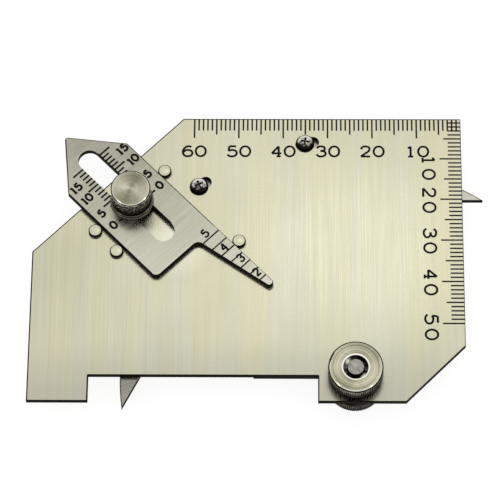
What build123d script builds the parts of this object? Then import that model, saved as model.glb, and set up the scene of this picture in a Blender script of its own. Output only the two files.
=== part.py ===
from build123d import *
import os
from math import cos, pi, sin, tan, radians

# Weld inspection gauge in stamped stainless sheet, in millimetres.
# A main plate carries a 45 degree height slider on its front and a swinging sector on its back.
# The origin is on the sector's pivot axis, on the outer face of the rear knurled head.
# X runs along the plate's long edge, Y up its height and Z out of the front face.

# Sheet and fits
sheet = 1.5
face_gap = 0.02
running_gap = 0.05
edge_chamfer = 0.15

# Main plate, laid out from the corner where its two millimetre scales start
plate_length = 95.5
plate_height = 68.3
top_chamfer = 33.0
foot_chamfer = 13.1
notch_width = 50.0
notch_depth = 6.0
left_foot_width = 13.3
pivot_from_right = 24.1
pivot_from_bottom = 6.3
clamp_left_of_pivot = 49.5
clamp_above_pivot = 40.7
top_scale_lines = 60
side_scale_lines = 50

# Engraved graduations
line_pitch = 1.0
line_width = 0.24
line_depth = 0.08
short_line = 3.0
middle_line = 4.0
long_line = 4.9

# Guide buttons beside the slider
button_diameter = 3.0
button_height = 0.9
button_chamfer = 0.25
upper_button_stations = (-0.6, 23.4)
lower_button_stations = (-0.7, 6.2)

# Height slider, laid out along its slot from the clamp stud
slide_angle = -45.5
slider_width = 18.0
slider_tip_station = -22.2
slider_shoulder_station = -11.2
slider_end_station = 17.3
slider_corner_radius = 1.5
slider_tip_radius = 0.7
slot_width = 5.0
slot_start_station = -16.5
slot_end_station = 12.7
slider_zero_station = 1.65
slider_scale_lines = 15
slider_short_line = 1.9
slider_long_line = 3.0
wedge_line_station = 18.65
wedge_line_pitch = 2.5
wedge_wide_gap = 5.0
wedge_narrow_gap = 2.0
wedge_gap_step = 0.5
wedge_end_station = 36.2
wedge_end_rounding = 0.42

# Clamp: a stud staked in the plate, a loose washer and a thumb knob
stud_diameter = 4.0
stud_head_diameter = 8.0
stud_head_height = 1.2
clamp_washer_diameter = 9.7
clamp_washer_thickness = 0.8
washer_bore_gap = 0.3
knob_diameter = 8.9
knob_height = 5.8
knob_collar_diameter = 9.2
knob_collar_height = 0.5
knob_groove_diameter = 8.2
knob_groove_height = 0.25
knob_chamfer = 0.3
knob_roof = 1.6
thread_end_gap = 0.4

# Sector, laid out about its pivot
sector_radius = 51.3
sector_left_angle = 188.3
sector_right_angle = 55.9
sector_hub_radius = 5.8
sector_flank_angle = 72.0
sector_step_radius = 22.2
sector_step_height = 2.5
sector_beak_angle = 27.5
sector_fillet = 1.5
degree_scale_reach = 50
degree_scale_step = 5
degree_short_line = 2.1
degree_long_line = 3.5

# Pivot: a bush through both sheets, a knurled screw from the back and a ring nut on the front
rear_head_diameter = 12.5
rear_head_height = 3.5
pivot_bush_diameter = 6.0
pivot_thread_diameter = 3.8
pivot_washer_diameter = 10.0
pivot_washer_thickness = 0.8
nut_diameter = 12.0
nut_height = 3.7
nut_thread_height = 2.2
nut_recess_diameter = 5.4
nut_countersink = 0.5
knurl_pitch = 0.55
knurl_depth = 0.14
knurl_shoulder = 0.05
knurl_chamfer = 0.3

# Index piece behind the plate and the two screws that hold it
index_radial_gap = 0.3
index_width = 9.6
index_angle = 114.4
index_half_span = 20.0
index_line_length = 3.5
index_screw_inset = 5.15
index_screw_half_angle = 13.25
index_slot_length = 5.4
index_slot_width = 2.8
index_slot_shift = -0.5
screw_diameter = 2.0
screw_head_diameter = 4.0
screw_head_height = 1.2
screw_head_chamfer = 0.4
cross_recess_width = 0.5
cross_recess_span = 2.1
cross_recess_depth = 0.7
screw_turns = (25.0, -10.0)

# Levels of the stack, from the rear head to the front
sector_level = rear_head_height + face_gap
plate_level = sector_level + sheet + face_gap
plate_front = plate_level + sheet
slider_level = plate_front + face_gap
slider_front = slider_level + sheet
clamp_washer_level = slider_front + face_gap
knob_level = clamp_washer_level + clamp_washer_thickness + face_gap
nut_level = plate_front + pivot_washer_thickness + face_gap
nut_front = nut_level + nut_height
index_level = plate_level - sheet

# Places shared by several pieces
corner_x = pivot_from_right
corner_y = plate_height - pivot_from_bottom
clamp_axis = Pos(-clamp_left_of_pivot, clamp_above_pivot)
index_inner_radius = sector_radius + index_radial_gap
index_outer_radius = index_inner_radius + index_width
index_screw_radius = index_inner_radius + index_screw_inset
screw_angles = (index_angle + index_screw_half_angle, index_angle - index_screw_half_angle)


def polar(radius, angle):
    """Point at a radius and an angle in degrees about the pivot."""
    return radius * cos(radians(angle)), radius * sin(radians(angle))


def slide_frame(level):
    """The slider's own frame on the clamp stud, with X down along its slot."""
    return clamp_axis * Location((0, 0, level), (0, 0, slide_angle))


def plate_of(outline, level):
    """Sheet of the stock thickness cut to an outline, its outer rims broken on both faces."""
    blank = extrude(outline, sheet)
    rims = [face.outer_wire().edges() for face in blank.faces().filter_by(Axis.Z)]
    return Pos(0, 0, level) * chamfer(rims[0] + rims[1], edge_chamfer)


def disc(diameter, height, level=0.0):
    """Plain round blank standing on a level."""
    return Pos(0, 0, level) * extrude(Circle(diameter / 2), height)


def engraved_line(length):
    """V-shaped cutter for one graduation that runs along X from the sheet's rim at the origin."""
    half_width = line_width / 2
    profile = make_face(Polyline(
        (-half_width, line_depth),
        (half_width, line_depth),
        (half_width, 0),
        (0, -line_depth),
        (-half_width, 0),
        close=True,
    ))
    return extrude(Plane.YZ * profile, length)


def graduation_length(count):
    """Length of a millimetre graduation: long at the tens and middle at the fives."""
    if count % 10 == 0:
        return long_line
    if count % 5 == 0:
        return middle_line
    return short_line


def main_outline():
    """Outline of the main plate with its chamfers and the notch between its feet."""
    left = corner_x - plate_length
    bottom = corner_y - plate_height
    notch_left = left + left_foot_width
    notch_right = notch_left + notch_width
    notch_top = bottom + notch_depth
    corners = [
        (corner_x, corner_y),
        (left + top_chamfer, corner_y),
        (left, corner_y - top_chamfer),
        (left, bottom),
        (notch_left, bottom),
        (notch_left, notch_top),
        (notch_right, notch_top),
        (notch_right, bottom),
        (corner_x - foot_chamfer, bottom),
        (corner_x, bottom + foot_chamfer),
    ]
    return make_face(Polyline(*corners, close=True))


def plate_scales():
    """Grooves of the scale along the top edge and of the one down the right edge."""
    grooves = []
    for count in range(1, top_scale_lines + 1):
        place = Location((corner_x - count * line_pitch, corner_y, plate_front), (0, 0, -90))
        grooves.append(place * engraved_line(graduation_length(count)))
    for count in range(1, side_scale_lines + 1):
        place = Location((corner_x, corner_y - count * line_pitch, plate_front), (0, 0, 180))
        grooves.append(place * engraved_line(graduation_length(count)))
    return grooves


def button_places():
    """Centres of the guide buttons in the slider's frame, a running gap off its two edges."""
    offset = slider_width / 2 + running_gap + button_diameter / 2
    upper = [(station, offset) for station in upper_button_stations]
    lower = [(station, -offset) for station in lower_button_stations]
    return upper + lower


def guide_button():
    """One button standing on the front face, with a chamfered rim."""
    button = extrude(Circle(button_diameter / 2), button_height)
    return chamfer(button.edges().group_by(Axis.Z)[-1], button_chamfer)


def index_slot(angle):
    """Outline of a slot along the arc of the index screws, a little off the screw."""
    x, y = polar(index_screw_radius, angle + index_slot_shift)
    return Location((x, y), angle + 90) * SlotOverall(index_slot_length, index_slot_width)


def main_plate():
    """The main plate with its bores, slots, guide buttons and engraved scales."""
    outline = main_outline()
    outline -= Circle(pivot_bush_diameter / 2 + running_gap)
    outline -= clamp_axis * Circle(stud_diameter / 2 + running_gap)
    for angle in screw_angles:
        outline -= index_slot(angle)
    plate = plate_of(outline, plate_level)
    for place in button_places():
        spot = Pos(*place, 0)
        plate += slide_frame(plate_front) * spot * guide_button()
    return plate - plate_scales()


def wedge_slope():
    """Fall of the wedge's width for each millimetre along it."""
    return wedge_gap_step / wedge_line_pitch


def wedge_width(station):
    """Width of the wedge at a station along the slider."""
    return wedge_wide_gap - wedge_slope() * (station - wedge_line_station)


def slider_outline():
    """Outline of the slider: a pointed body, the wedge along its upper edge and the slot."""
    edge = slider_width / 2
    root_width = wedge_width(slider_end_station)
    end_width = wedge_width(wedge_end_station)
    corners = [
        (slider_tip_station, 0),
        (slider_shoulder_station, -edge),
        (slider_end_station, -edge),
        (slider_end_station, edge - root_width),
        (wedge_end_station, edge - end_width),
        (wedge_end_station, edge),
        (slider_shoulder_station, edge),
    ]
    outline = make_face(Polyline(*corners, close=True))
    body_corner, wedge_root = [
        outline.vertices().sort_by_distance((*corners[index], 0))[0] for index in (2, 3)
    ]
    outline = fillet([body_corner, wedge_root], slider_corner_radius)
    tip, shoulder = [
        outline.vertices().sort_by_distance((*corners[index], 0))[0] for index in (0, 1)
    ]
    outline = fillet([tip, shoulder], slider_tip_radius)
    ends = outline.vertices().sort_by(Axis.X)[-2:]
    outline = fillet(ends, wedge_end_rounding * end_width)
    slot_length = slot_end_station - slot_start_station
    slot_centre = (slot_end_station + slot_start_station) / 2
    return outline - Pos(slot_centre, 0) * SlotOverall(slot_length, slot_width)


def slider_scales():
    """Grooves on both sides of the slot and across the wedge, in the slider's frame."""
    grooves = []
    for count in range(slider_scale_lines + 1):
        station = slider_zero_station - count * line_pitch
        length = slider_long_line if count % 5 == 0 else slider_short_line
        for side in (1, -1):
            place = Location((station, side * slot_width / 2, sheet), (0, 0, 90 * side))
            grooves.append(place * engraved_line(length))
    lines = round((wedge_wide_gap - wedge_narrow_gap) / wedge_gap_step) + 1
    for count in range(lines):
        station = wedge_line_station + count * wedge_line_pitch
        place = Location((station, slider_width / 2, sheet), (0, 0, -90))
        grooves.append(place * engraved_line(wedge_width(station)))
    return grooves


def height_slider():
    """The height slider in its frame, lying on the plate's front face."""
    slider = plate_of(slider_outline(), 0)
    slider -= slider_scales()
    return slide_frame(slider_level) * slider


def sector_outline():
    """Outline of the sector: a hub, two straight flanks and a sharp beak at each end of its arc."""
    reach = 2 * sector_radius
    left_x, left_y = polar(sector_radius, sector_left_angle)
    right_y = polar(sector_radius, sector_right_angle)[1]
    lean = tan(radians(sector_beak_angle))
    inner_corner = (left_x + (sector_step_height - left_y) * lean, sector_step_height)
    past_beak = (left_x - sector_step_height * lean, left_y - sector_step_height)
    flank = radians(sector_flank_angle)
    tangent = (sector_hub_radius * sin(flank), -sector_hub_radius * cos(flank))
    flank_top = (tangent[0] + (right_y - tangent[1]) / tan(flank), right_y)
    step_foot = (-sector_step_radius, 0)
    step_head = (-sector_step_radius, sector_step_height)
    corners = [
        (0, 0),
        step_foot,
        step_head,
        inner_corner,
        past_beak,
        (-reach, past_beak[1]),
        (-reach, reach),
        (reach, reach),
        (reach, right_y),
        flank_top,
        tangent,
    ]
    outline = make_face(Polyline(*corners, close=True))
    rounded = [
        outline.vertices().sort_by_distance((*corner, 0))[0]
        for corner in (step_head, inner_corner, flank_top)
    ]
    outline = fillet(rounded, sector_fillet)
    outline &= Circle(sector_radius)
    outline += Circle(sector_hub_radius)
    return outline - Circle(pivot_bush_diameter / 2 + running_gap)


def degree_scale():
    """Grooves of the sector's degree scale in its rear face, cut face down."""
    grooves = []
    for count in range(-degree_scale_reach, degree_scale_reach + 1, degree_scale_step):
        angle = index_angle + count
        length = degree_long_line if count % 10 == 0 else degree_short_line
        outer_end = polar(sector_radius - 2 * edge_chamfer, angle)
        place = Location((*outer_end, sector_level), (180, 0, angle + 180))
        grooves.append(place * engraved_line(length))
    return grooves


def sector_rule():
    """The swinging sector behind the main plate."""
    return plate_of(sector_outline(), sector_level) - degree_scale()


def index_plate():
    """The arc that lies around the sector's rim and carries the index line."""
    spread = radians(index_half_span)
    reach = 2 * index_outer_radius
    wedge = make_face(Polyline(
        (0, 0),
        (reach, -reach * tan(spread)),
        (reach, reach * tan(spread)),
        close=True,
    ))
    outline = (Circle(index_outer_radius) - Circle(index_inner_radius)) & wedge
    for turn in (index_screw_half_angle, -index_screw_half_angle):
        outline -= Pos(*polar(index_screw_radius, turn)) * Circle(screw_diameter / 2 + running_gap)
    arc = plate_of(outline, index_level)
    arc -= Location((index_inner_radius, 0, index_level), (180, 0, 0)) * engraved_line(index_line_length)
    return Rot(0, 0, index_angle) * arc


def index_screw(angle, turn):
    """Small cross-recessed pan head screw through a slot of the plate into the index piece."""
    head = extrude(Circle(screw_head_diameter / 2), screw_head_height)
    head = chamfer(head.edges().group_by(Axis.Z)[-1], screw_head_chamfer)
    shank = extrude(Circle(screw_diameter / 2), -2 * sheet)
    arm = Box(cross_recess_span, cross_recess_width, 2 * cross_recess_depth)
    recess = Pos(0, 0, screw_head_height) * (arm + Rot(0, 0, 90) * arm)
    screw = head + shank - Rot(0, 0, turn) * recess
    return Pos(*polar(index_screw_radius, angle), plate_front) * screw


def clamp_stud():
    """Stud staked in the plate, with a low head behind it."""
    top = knob_level + knob_height - knob_roof - thread_end_gap
    head = disc(stud_head_diameter, stud_head_height, plate_level - stud_head_height)
    head = chamfer(head.edges().group_by(Axis.Z)[0], 2 * edge_chamfer)
    return clamp_axis * (head + disc(stud_diameter, top - plate_level, plate_level))


def washer(diameter, bore, thickness, level):
    """Flat stamped washer, its outer rim broken on the face that shows."""
    blank = disc(diameter, thickness, level)
    blank = chamfer(blank.edges().group_by(Axis.Z)[-1], edge_chamfer)
    return blank - disc(bore, thickness, level)


def thumb_knob():
    """Turned thumb knob: a collar, a groove and a tall grip, with a blind threaded bore."""
    collar = disc(knob_collar_diameter, knob_collar_height)
    collar = chamfer(collar.edges().group_by(Axis.Z)[-1], edge_chamfer)
    groove = disc(knob_groove_diameter, knob_groove_height, knob_collar_height)
    grip_level = knob_collar_height + knob_groove_height
    grip = disc(knob_diameter, knob_height - grip_level, grip_level)
    grip = chamfer(grip.edges(), knob_chamfer)
    bore = disc(stud_diameter + 2 * running_gap, knob_height - knob_roof)
    knob = collar + groove + grip - bore
    return clamp_axis * Pos(0, 0, knob_level) * knob


def straight_knurl(diameter, height):
    """Disc with a straight knurled band between two turned chamfers."""
    teeth = round(pi * diameter / knurl_pitch)
    crest = diameter / 2
    root = crest - knurl_depth
    points = []
    for tooth in range(teeth):
        angle = 360 * tooth / teeth
        points.append(polar(crest, angle))
        points.append(polar(root, angle + 180 / teeth))
    band = extrude(make_face(Polyline(*points, close=True)), height - 2 * knurl_chamfer)
    core = disc(2 * (root - knurl_shoulder), height)
    return Pos(0, 0, knurl_chamfer) * band + chamfer(core.edges(), knurl_chamfer)


def pivot_bush():
    """Bush that the sector turns on, held between the rear head and the front washer."""
    length = plate_front - face_gap - sector_level
    bore = pivot_thread_diameter + 2 * running_gap
    return disc(pivot_bush_diameter, length, sector_level) - disc(bore, length, sector_level)


def pivot_screw():
    """Rear knurled head with the threaded shank that runs through the bush into the nut."""
    length = nut_front - face_gap - rear_head_height
    shank = disc(pivot_thread_diameter, length, rear_head_height)
    shank = chamfer(shank.edges().group_by(Axis.Z)[-1], edge_chamfer)
    return straight_knurl(rear_head_diameter, rear_head_height) + shank


def pivot_nut():
    """Front ring nut: knurled rim, threaded bore below and a countersunk recess above."""
    ring = straight_knurl(nut_diameter, nut_height)
    ring -= disc(pivot_thread_diameter + 2 * running_gap, nut_height)
    ring -= disc(nut_recess_diameter, nut_height, nut_thread_height)
    mouth = nut_recess_diameter / 2 + nut_countersink
    ring -= Pos(0, 0, nut_height) * Cone(
        nut_recess_diameter / 2,
        mouth,
        nut_countersink,
        align=(Align.CENTER, Align.CENTER, Align.MAX),
    )
    return Pos(0, 0, nut_level) * ring


def all_nodes():
    """Every piece of the gauge under its node name."""
    clamp_bore = stud_diameter + 2 * washer_bore_gap
    pivot_bore = pivot_thread_diameter + 2 * washer_bore_gap
    clamp_washer = washer(
        clamp_washer_diameter, clamp_bore, clamp_washer_thickness, clamp_washer_level
    )
    return {
        "main_plate": main_plate(),
        "height_slider": height_slider(),
        "sector_rule": sector_rule(),
        "index_plate": index_plate(),
        "index_screw_left": index_screw(screw_angles[0], screw_turns[0]),
        "index_screw_right": index_screw(screw_angles[1], screw_turns[1]),
        "clamp_stud": clamp_stud(),
        "clamp_washer": clamp_axis * clamp_washer,
        "thumb_knob": thumb_knob(),
        "pivot_bush": pivot_bush(),
        "pivot_screw": pivot_screw(),
        "pivot_washer": washer(
            pivot_washer_diameter, pivot_bore, pivot_washer_thickness, plate_front
        ),
        "pivot_nut": pivot_nut(),
    }


os.makedirs("parts", exist_ok=True)
for name, solid in all_nodes().items():
    export_step(solid, f"parts/{name}.step")
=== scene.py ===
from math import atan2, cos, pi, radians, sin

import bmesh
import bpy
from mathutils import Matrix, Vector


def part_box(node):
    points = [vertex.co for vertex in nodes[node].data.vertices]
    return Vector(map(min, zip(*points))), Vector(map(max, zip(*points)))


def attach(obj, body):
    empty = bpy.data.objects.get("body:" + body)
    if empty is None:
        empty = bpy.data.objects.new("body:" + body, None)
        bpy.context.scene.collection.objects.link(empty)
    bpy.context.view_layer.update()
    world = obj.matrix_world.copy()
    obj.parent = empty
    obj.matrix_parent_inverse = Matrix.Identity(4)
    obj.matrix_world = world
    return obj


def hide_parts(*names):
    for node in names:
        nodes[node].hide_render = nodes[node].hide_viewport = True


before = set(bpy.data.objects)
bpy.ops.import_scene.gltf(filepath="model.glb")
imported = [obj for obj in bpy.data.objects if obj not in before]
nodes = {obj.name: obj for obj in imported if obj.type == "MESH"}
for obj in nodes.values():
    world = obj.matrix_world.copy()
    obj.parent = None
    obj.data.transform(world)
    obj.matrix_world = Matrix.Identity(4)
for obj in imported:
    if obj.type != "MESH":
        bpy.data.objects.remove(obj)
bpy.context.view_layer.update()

# %% [markdown]
# # A stainless weld gauge
# The real object is a pocket measuring tool: a stamped plate with two millimetre scales, a slider
# that runs slantwise across its front under a thumb knob, and a pointed sector that swings behind
# it on a knurled pivot. The solids come from the measured model. This lesson dresses them: it
# gives every surface the finish of the real steel, turns the small round pieces with more detail
# than a solid needs, and fills the graduations and figures with ink.

mm = 0.001
print("solids:", ", ".join(sorted(nodes)))

# %% [markdown]
# ## Levels and axes
# Every piece sits on a face of the solids, so its height is read from their boxes and not typed
# again. The knob stands on its own axis, the pivot on the origin, and the slider lies at a slant
# with its own directions: `along` down its slot and `across` towards its upper edge.

# %% Levels and axes
sheet = 1.5 * mm
plate_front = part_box("index_plate")[1][2] + sheet
slider_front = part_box("height_slider")[1][2]
sector_back, sector_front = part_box("sector_rule")[0][2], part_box("sector_rule")[1][2]
index_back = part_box("index_plate")[0][2]
plate_low = Vector(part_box("main_plate")[0][:2])
plate_corner = Vector(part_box("main_plate")[1][:2])
knob_low, knob_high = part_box("thumb_knob")
knob_axis = ((knob_low[0] + knob_high[0]) / 2, (knob_low[1] + knob_high[1]) / 2)
slide_angle = -45.5
along = Vector((cos(radians(slide_angle)), sin(radians(slide_angle))))
across = Vector((-along.y, along.x))


def on_slider(station, offset):
    """A point on the slider in its own directions, in mm from the knob's axis."""
    return Vector(knob_axis) + along * station * mm + across * offset * mm


print("plate front", round(plate_front / mm, 3), "slider front", round(slider_front / mm, 3))
print("knob axis", [round(value / mm, 2) for value in knob_axis])

# %% [markdown]
# ## Colours and nodes
# A colour is written in sRGB hex, and one function turns it to the linear values that the shader
# mixes. One more small function adds a node with its settings, and takes a plain value or another
# node for each input. The Mix node has inputs for numbers and for colours side by side: 0 is the
# share, 2 and 3 are the numbers, 6 and 7 the colours, and its output 2 is the mixed colour.


# %% Colours and nodes
def linear(colour):
    """Linear RGBA of an sRGB hex colour."""
    parts = [int(colour[i:i + 2], 16) / 255 for i in (1, 3, 5)]
    return [c / 12.92 if c <= 0.04045 else ((c + 0.055) / 1.055) ** 2.4 for c in parts] + [1.0]


def add(tree, kind, inputs=None, **settings):
    """Adds a node; an input is a value, another node's output, or a node for its first output."""
    new = tree.nodes.new(kind)
    for name, value in settings.items():
        setattr(new, name, value)
    for name, value in (inputs or {}).items():
        if isinstance(value, bpy.types.Node):
            value = value.outputs[0]
        if isinstance(value, bpy.types.NodeSocket):
            tree.links.new(value, new.inputs[name])
        else:
            new.inputs[name].default_value = value
    return new


def new_material(name):
    """A material with an empty tree, and that tree."""
    material = bpy.data.materials.new(name)
    material.use_nodes = True
    material.node_tree.nodes.clear()
    return material, material.node_tree


def finished(material, surface):
    """Joins a surface to a material's output, and gives the material."""
    add(material.node_tree, "ShaderNodeOutputMaterial", {"Surface": surface})
    print("finish:", material.name)
    return material


def dress(node, finish):
    """Gives a solid its finish."""
    nodes[node].data.materials.clear()
    nodes[node].data.materials.append(finish)


print("mid grey in linear light:", round(linear("#808080")[0], 3))

# %% [markdown]
# ## Brushed stainless sheet
# The plate is stainless steel, cold rolled and then brushed on a belt. That leaves thousands of
# straight scratches, so the sheet has no mirror image, only soft light drawn out square to them,
# and each scratch is a little lighter or darker than its neighbour. A noise stretched a hundred
# times in one direction draws them, 0.2 mm wide, because finer ones would not show from here.
#
# The rim has its own colour, a painted shade nearly black, so that a thin dark line goes round
# every outline. It is picked out by the direction of the surface.

# %% Scratches and rims
scratch_width = 0.2


def scratches(tree, place, width, run, detail, roughness=0.5):
    """Noise drawn out into scratches of a width and a run in mm, along the Y of a place."""
    drawn = add(tree, "ShaderNodeMapping", {
        "Vector": place, "Scale": (1 / (width * mm), 1 / (run * mm), 1 / (width * mm))})
    return add(tree, "ShaderNodeTexNoise", {
        "Vector": drawn, "Scale": 1.0, "Detail": detail, "Roughness": roughness})


def flatness(tree, lip):
    """0 on an upright wall and 1 on a flat face; lip is the two slopes between them."""
    normal = add(tree, "ShaderNodeTexCoord").outputs["Normal"]
    split = add(tree, "ShaderNodeSeparateXYZ", {"Vector": normal})
    upright = add(tree, "ShaderNodeMath", {0: split.outputs["Z"]}, operation="ABSOLUTE")
    return add(tree, "ShaderNodeMapRange", {
        "Value": upright, "From Min": lip[0], "From Max": lip[1]})


print("scratches are drawn", scratch_width, "mm wide")

# %% [markdown]
# ## Painted light and shade
# No sheet is lit evenly. The slider and the sector are painted brighter towards one end, a painted
# light ramp. The plate has a painted pool of light where the slider lies over it, and is painted
# darker and greyer along its feet as shade. A slow ramp over a distance in millimetres is enough
# for each, because real light has no edges either.

# %% Painted light and shade
painted_light_share, light_pool_share, lower_shade_share = 0.55, 0.45, 0.5
light_pool_colour, lower_shade_colour = "#F4F3E6", "#A3A39B"


def from_axis(tree, place, axis):
    """The flat way out from an upright axis, and its length."""
    centred = add(tree, "ShaderNodeMapping", {"Vector": place, "Location": (-axis[0], -axis[1], 0)})
    flat = add(tree, "ShaderNodeVectorMath", {0: centred, 1: (1, 1, 0)}, operation="MULTIPLY")
    return flat, add(tree, "ShaderNodeVectorMath", {0: flat}, operation="LENGTH").outputs["Value"]


def rub_bright(tree, place, tone, dull, shiny):
    """A tone raised by painted light from a darker point to a brighter one, both in mm."""
    dull, shiny = Vector(dull) * mm, Vector(shiny) * mm
    way = (shiny - dull).normalized()
    reach = add(tree, "ShaderNodeVectorMath", {
        0: place, 1: (way.x, way.y, 0)}, operation="DOT_PRODUCT")
    painted_light_level = add(tree, "ShaderNodeMapRange", {
        "Value": reach.outputs["Value"], "From Min": dull.dot(way), "From Max": shiny.dot(way)})
    return add(tree, "ShaderNodeMix", {0: painted_light_share, 2: tone, 3: painted_light_level})


def keep_clean(tree, place, face, point, inner, outer):
    """Paints light on a face within one radius of a point, fading to none at another, in mm."""
    away = from_axis(tree, place, Vector(point) * mm)[1]
    lit_share = add(tree, "ShaderNodeMapRange", {
        "Value": away, "From Min": outer * mm, "From Max": inner * mm, "To Max": light_pool_share})
    return add(tree, "ShaderNodeMix", {
        0: lit_share, 6: face, 7: linear(light_pool_colour)}, data_type="RGBA").outputs[2]


def wear_dull(tree, place, face, low, high):
    """Paints a face darker and greyer from a height down to a lower one, in mm."""
    split = add(tree, "ShaderNodeSeparateXYZ", {"Vector": place})
    lower_shade_ramp = add(tree, "ShaderNodeMapRange", {
        "Value": split.outputs["Y"], "From Min": high * mm, "From Max": low * mm,
        "To Max": lower_shade_share})
    return add(tree, "ShaderNodeMix", {
        0: lower_shade_ramp, 6: face, 7: linear(lower_shade_colour)}, data_type="RGBA").outputs[2]


print("handling raises a tone by a share of", painted_light_share)

# %% [markdown]
# ## The sheet's material
# Fine scratches, broad bands and slow clouds add up to one tone, which mixes a shade and a bright
# of the same steel. Slow patches of a straw tint lie over it, where the belt warmed the steel. The
# scratches also change the roughness and lift the surface by a hundredth of a millimetre, and the
# light is drawn out square to them by the shader's anisotropy.


# %% The sheet's material
def brushed_sheet(name, bright, shade, tint, rim, brush_angle, run=30.0, lip=(0.8, 0.97),
                  painted_light_ramp=None, light_pool=None, lower_shade=None):
    """Belt-brushed sheet; run is a scratch's length in mm, lip the slopes between rim and face.

    handled, sheltered and worn are what rub_bright, keep_clean and wear_dull ask for.
    """
    roughness = 0.24
    material, tree = new_material(name)
    place = add(tree, "ShaderNodeTexCoord").outputs["Object"]
    brushing = add(tree, "ShaderNodeMapping", {
        "Vector": place, "Rotation": (0, 0, radians(90 - brush_angle))})
    fine = scratches(tree, brushing, scratch_width, run, 3.0, 0.65)
    band = scratches(tree, brushing, 6 * scratch_width, 3 * run, 2.0, 0.6)
    cloud = add(tree, "ShaderNodeTexNoise", {
        "Vector": place, "Scale": 1 / (26 * mm), "Detail": 2.0})
    tone = add(tree, "ShaderNodeMath", {0: band, 1: 0.4, 2: cloud}, operation="MULTIPLY_ADD")
    tone = add(tree, "ShaderNodeMath", {0: fine, 1: 1.4, 2: tone}, operation="MULTIPLY_ADD")
    tone = add(tree, "ShaderNodeMapRange", {"Value": tone, "From Min": 1.05, "From Max": 1.75})
    if painted_light_ramp:
        tone = rub_bright(tree, place, tone, *painted_light_ramp)
    face = add(tree, "ShaderNodeMix", {
        0: tone, 6: linear(shade), 7: linear(bright)}, data_type="RGBA").outputs[2]
    warmth = add(tree, "ShaderNodeMapRange", {
        "Value": scratches(tree, brushing, 4, 60, 3.0),
        "From Min": 0.35, "From Max": 0.75, "To Max": 0.4})
    face = add(tree, "ShaderNodeMix", {
        0: warmth, 6: face, 7: linear(tint)}, data_type="RGBA").outputs[2]
    if light_pool:
        face = keep_clean(tree, place, face, *light_pool)
    if lower_shade:
        face = wear_dull(tree, place, face, *lower_shade)
    # The rim colour is a painted shade on upright walls and bevels.
    is_face = flatness(tree, lip)
    colour = add(tree, "ShaderNodeMix", {0: is_face, 6: linear(rim), 7: face}, data_type="RGBA")
    gloss = add(tree, "ShaderNodeMapRange", {
        "Value": fine, "From Min": 0.3, "From Max": 0.7,
        "To Min": roughness - 0.06, "To Max": roughness + 0.08})
    gloss = add(tree, "ShaderNodeMix", {0: is_face, 2: 0.5, 3: gloss})
    relief = add(tree, "ShaderNodeBump", {"Strength": 0.35, "Distance": 0.012 * mm, "Height": fine})
    drawn_out = add(tree, "ShaderNodeCombineXYZ", {
        "X": sin(radians(brush_angle)), "Y": -cos(radians(brush_angle))})
    steel = add(tree, "ShaderNodeBsdfPrincipled", {
        "Base Color": colour.outputs[2], "Metallic": is_face, "Specular IOR Level": 0.01,
        "Roughness": gloss, "Anisotropic": 0.5, "Normal": relief, "Tangent": drawn_out})
    return finished(material, steel)


# %% [markdown]
# ## The four sheets
# Plate, slider, sector and index plate share the recipe. Each was brushed before it was put in its
# place, so each has its own direction and its own brightness.

# %% The four sheets
# The plate gets a painted pool of light under the slider, and painted shade along its feet.
dress("main_plate", brushed_sheet(
    "brushed_stainless_plate", "#D0CEB8", "#BBBAA4", "#CFC596", "#100E0A", 90,
    light_pool=((-40, 31), 2, 9), lower_shade=(-5, 8)))
# Slider and sector are painted brighter towards one end, a painted light ramp.
dress("height_slider", brushed_sheet(
    "brushed_stainless_slider", "#D1D0BF", "#8A897A", "#AEAB93", "#0E0C09", slide_angle + 90,
    run=12, painted_light_ramp=((-50, 54), (-50, 26))))
dress("sector_rule", brushed_sheet(
    "brushed_stainless_sector", "#D6D5CC", "#77756A", "#B4B19C", "#14120D", 20,
    lip=(0.2, 0.6), painted_light_ramp=((-45, 0), (25, 0))))
dress("index_plate", brushed_sheet(
    "brushed_stainless_index", "#B0AEA2", "#95938A", "#A8A592", "#12100C", 24, lip=(0.3, 0.6)))

# %% [markdown]
# ## Turned steel
# Knob, nut, screw and washers come off a lathe. The tool leaves rings round the axis, and these
# throw the light out in two fans that cross the face, like a bow tie. The rings are a noise of the
# distance from the axis alone, fine for the tool's feed and broad for its separate passes. The bow
# tie is a painted highlight in the colour, and the shader's highlight is drawn out along the
# radius.


# %% Turned steel
def bow_tie(tree, flat, angle, power):
    """Painted highlight in two fans along a line at an angle in degrees, narrow at high power."""
    outward = add(tree, "ShaderNodeVectorMath", {0: flat}, operation="NORMALIZE")
    line = (cos(radians(angle)), sin(radians(angle)), 0)
    fan = add(tree, "ShaderNodeVectorMath", {0: outward, 1: line}, operation="DOT_PRODUCT")
    fan = add(tree, "ShaderNodeMath", {0: fan.outputs["Value"]}, operation="ABSOLUTE")
    fan = add(tree, "ShaderNodeMath", {0: fan, 1: power}, operation="POWER")
    spread = add(tree, "ShaderNodeTexNoise", {"Vector": outward, "Scale": 2.0, "Detail": 2.0})
    return add(tree, "ShaderNodeMath", {0: fan, 1: spread}, operation="ADD")


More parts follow.
